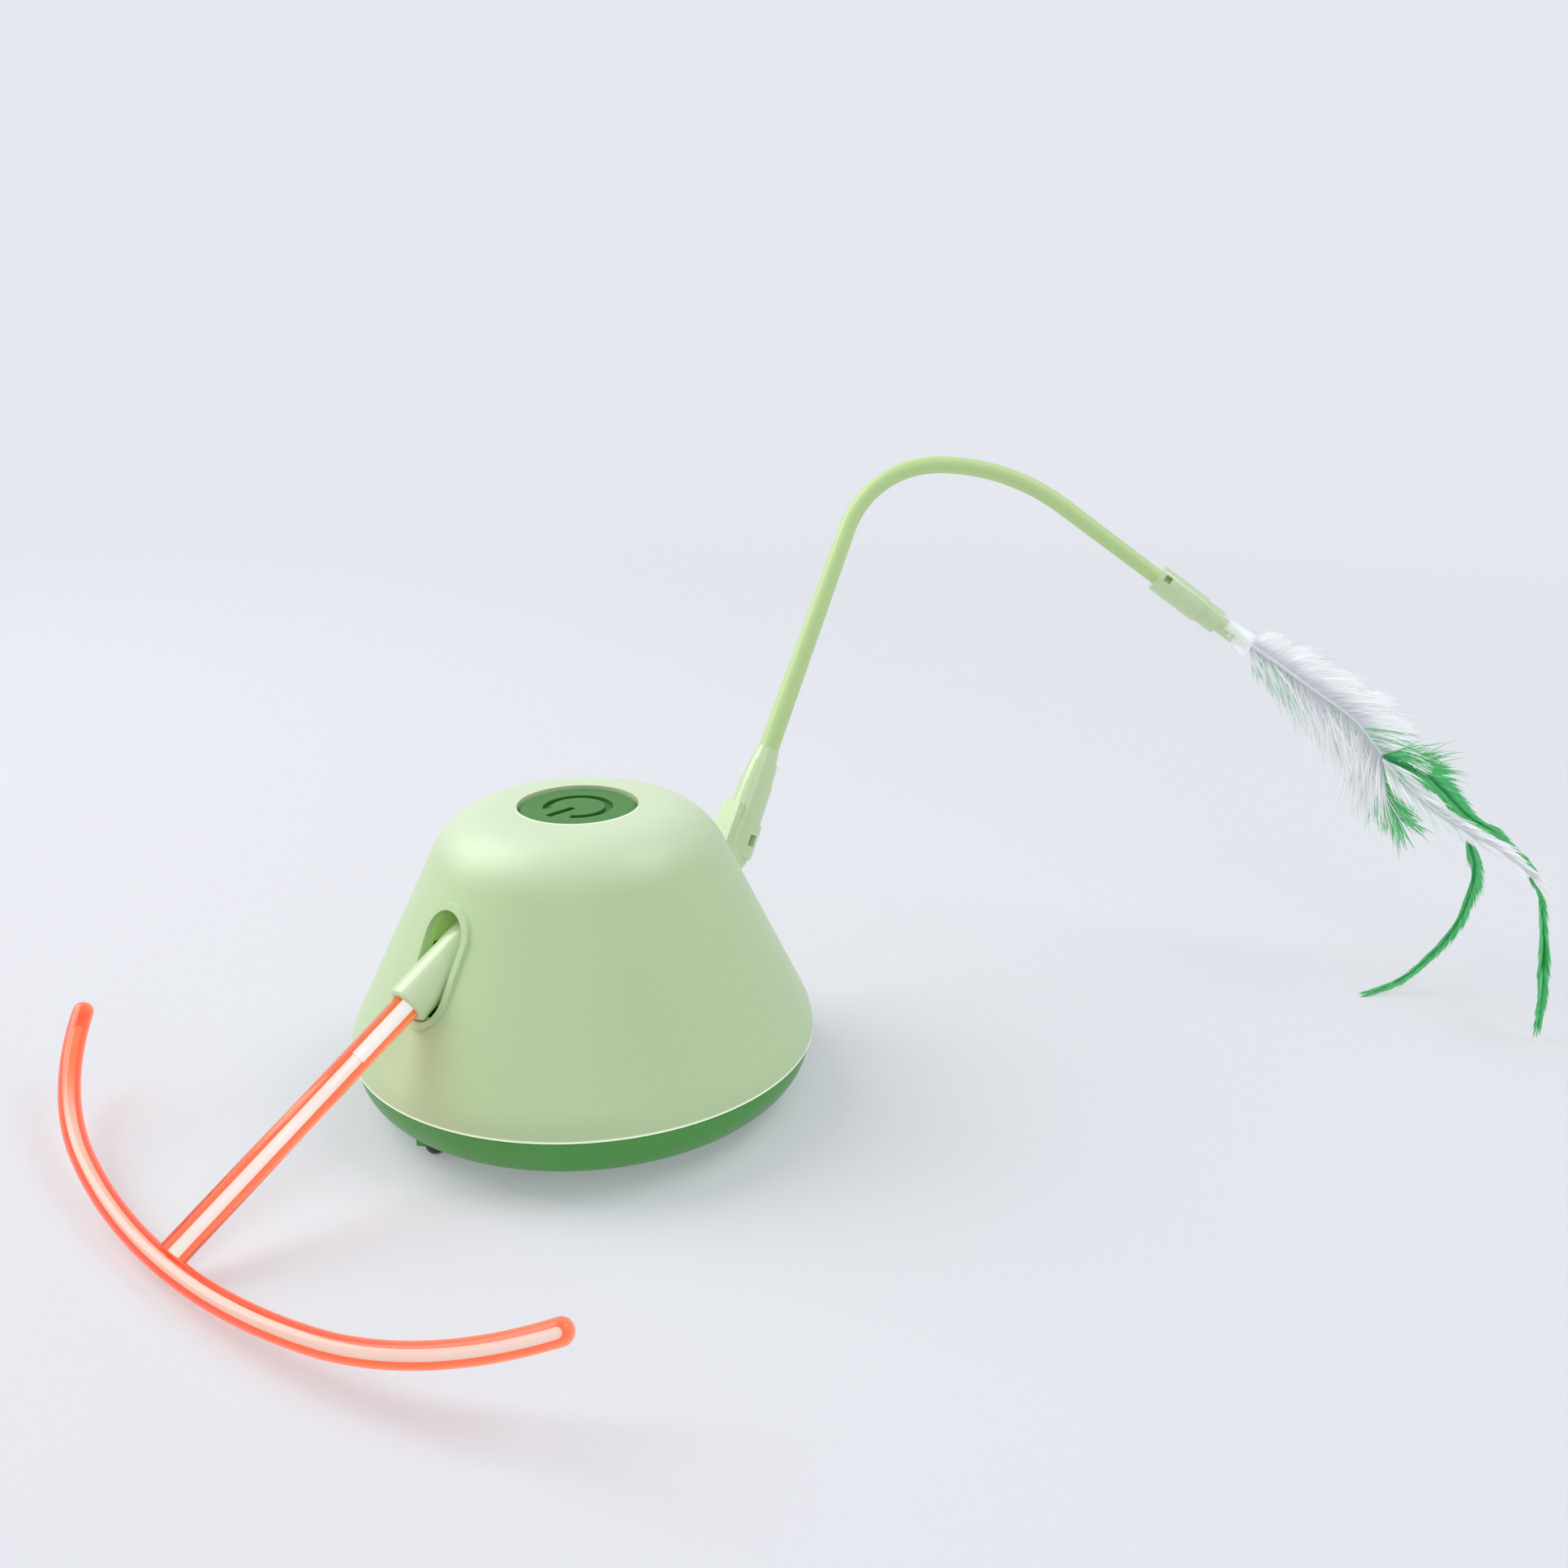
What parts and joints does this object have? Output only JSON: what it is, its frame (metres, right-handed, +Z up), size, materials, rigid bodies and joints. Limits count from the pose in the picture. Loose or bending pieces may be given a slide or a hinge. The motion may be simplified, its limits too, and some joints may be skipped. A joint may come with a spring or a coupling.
{
  "type": "automatic cat teaser",
  "caption": "Rounded rolling robot cat toy with a top button, a swinging orange bumper bar in front and a bent wand at the rear that carries feathers.",
  "frame": {"origin": "on the floor below the middle of the round body", "axes": "+Z up, -Y towards the bumper bar, +Y towards the wand socket, +X to the right seen from behind the bumper"},
  "size_m": [0.2134, 0.2598, 0.1173],
  "materials": {
    "mint_shell": "satin mint green plastic",
    "green_shell": "satin dark green plastic",
    "button_green": "satin mid green plastic",
    "pale_green": "satin pale green plastic",
    "wand_green": "satin light green flexible plastic",
    "orange_tube": "translucent orange soft plastic",
    "pale_peg": "pale translucent plastic",
    "black_ball": "polished black",
    "white_gear": "natural white gear plastic",
    "frame_grey": "dark grey moulded plastic",
    "steel": "bright steel",
    "brass": "turned brass",
    "motor_can": "plated steel can",
    "circuit_board": "green circuit board",
    "chip_black": "black moulded parts",
    "switch_black": "black switch plastic",
    "cell_foil": "foil pouch",
    "tyre_rubber": "black rubber with cross grooves",
    "hub_white": "pale plastic wheel",
    "film": "clear thin film",
    "quill": "horn quill",
    "feather_white": "fluffy white feather",
    "feather_green": "dyed green feather"
  },
  "bodies": {
    "body": {"axle_bushes": "brass", "battery_cell": "cell_foil", "board_components": "chip_black", "board_screws": "steel", "bottom_shell": "green_shell", "case_screws": "steel", "caster_cage": "green_shell", "feather_connector": "pale_green", "feather_sheath": "film", "frame_screws": "steel", "gear_pins": "steel", "green_feather": "feather_green", "green_strip_far": "feather_green", "green_strip_near": "feather_green", "green_tuft": "feather_green", "left_gear_frame": "frame_grey", "left_motor": "motor_can", "main_board": "circuit_board", "motor_screws": "steel", "nozzle_pin": "steel", "quill_bundle": "quill", "right_gear_frame": "frame_grey", "right_motor": "motor_can", "socket_screws": "steel", "tact_switch": "switch_black", "top_shell": "mint_shell", "usb_board": "circuit_board", "usb_port": "steel", "usb_screws": "steel", "wand_boot": "pale_green", "wand_rod": "wand_green", "wand_socket": "pale_green", "white_feather": "feather_white", "white_streamer": "feather_white"},
    "power_button": {"power_button": "button_green", "switch_plunger": "switch_black"},
    "caster_ball": {"caster_ball": "black_ball"},
    "bumper": {"nozzle_arm": "pale_green", "bumper_stem": "orange_tube", "stem_peg": "pale_peg", "bumper_arc": "orange_tube"},
    "left_wheel": {"left_wheel_gear": "white_gear", "left_axle": "steel", "left_wheel_hub": "hub_white", "left_tyre": "tyre_rubber"},
    "left_compound": {"left_compound_gear": "white_gear"},
    "left_pinion": {"left_pinion": "white_gear", "left_motor_shaft": "steel"},
    "right_wheel": {"right_wheel_gear": "white_gear", "right_axle": "steel", "right_wheel_hub": "hub_white", "right_tyre": "tyre_rubber"},
    "right_compound": {"right_compound_gear": "white_gear"},
    "right_pinion": {"right_pinion": "white_gear", "right_motor_shaft": "steel"}
  },
  "joints": [
    {"name": "button_press", "type": "slide", "parent": "body", "child": "power_button", "axis": [0, 0, -1], "range_m": [0, 0.0008], "stiffness_N_per_m": 800},
    {"name": "caster_roll", "type": "hinge", "parent": "body", "child": "caster_ball", "pos_m": [0, -0.037, 0.0021], "axis": [1, 0, 0], "continuous": true},
    {"name": "bumper_lift", "type": "hinge", "parent": "body", "child": "bumper", "pos_m": [0, -0.02, 0.0431], "axis": [-1, 0, 0], "range_deg": [0, 18]},
    {"name": "left_wheel_spin", "type": "hinge", "parent": "body", "child": "left_wheel", "pos_m": [-0.031, 0.008, 0.013], "axis": [1, 0, 0], "continuous": true},
    {"name": "left_compound_spin", "type": "hinge", "parent": "body", "child": "left_compound", "pos_m": [-0.021, -0.00101, 0.0182], "axis": [1, 0, 0], "continuous": true},
    {"name": "left_pinion_spin", "type": "hinge", "parent": "body", "child": "left_pinion", "pos_m": [-0.019, -0.00967, 0.01667], "axis": [1, 0, 0], "continuous": true},
    {"name": "right_wheel_spin", "type": "hinge", "parent": "body", "child": "right_wheel", "pos_m": [0.031, 0.008, 0.013], "axis": [1, 0, 0], "continuous": true},
    {"name": "right_compound_spin", "type": "hinge", "parent": "body", "child": "right_compound", "pos_m": [0.021, -0.00101, 0.0182], "axis": [1, 0, 0], "continuous": true},
    {"name": "right_pinion_spin", "type": "hinge", "parent": "body", "child": "right_pinion", "pos_m": [0.019, -0.00967, 0.01667], "axis": [1, 0, 0], "continuous": true}
  ],
  "couplings": [
    {"joint": "left_compound_spin", "follows": "left_wheel_spin", "ratio": -3.3333},
    {"joint": "left_pinion_spin", "follows": "left_wheel_spin", "ratio": 11.333},
    {"joint": "right_compound_spin", "follows": "right_wheel_spin", "ratio": -3.3333},
    {"joint": "right_pinion_spin", "follows": "right_wheel_spin", "ratio": 11.333}
  ]
}
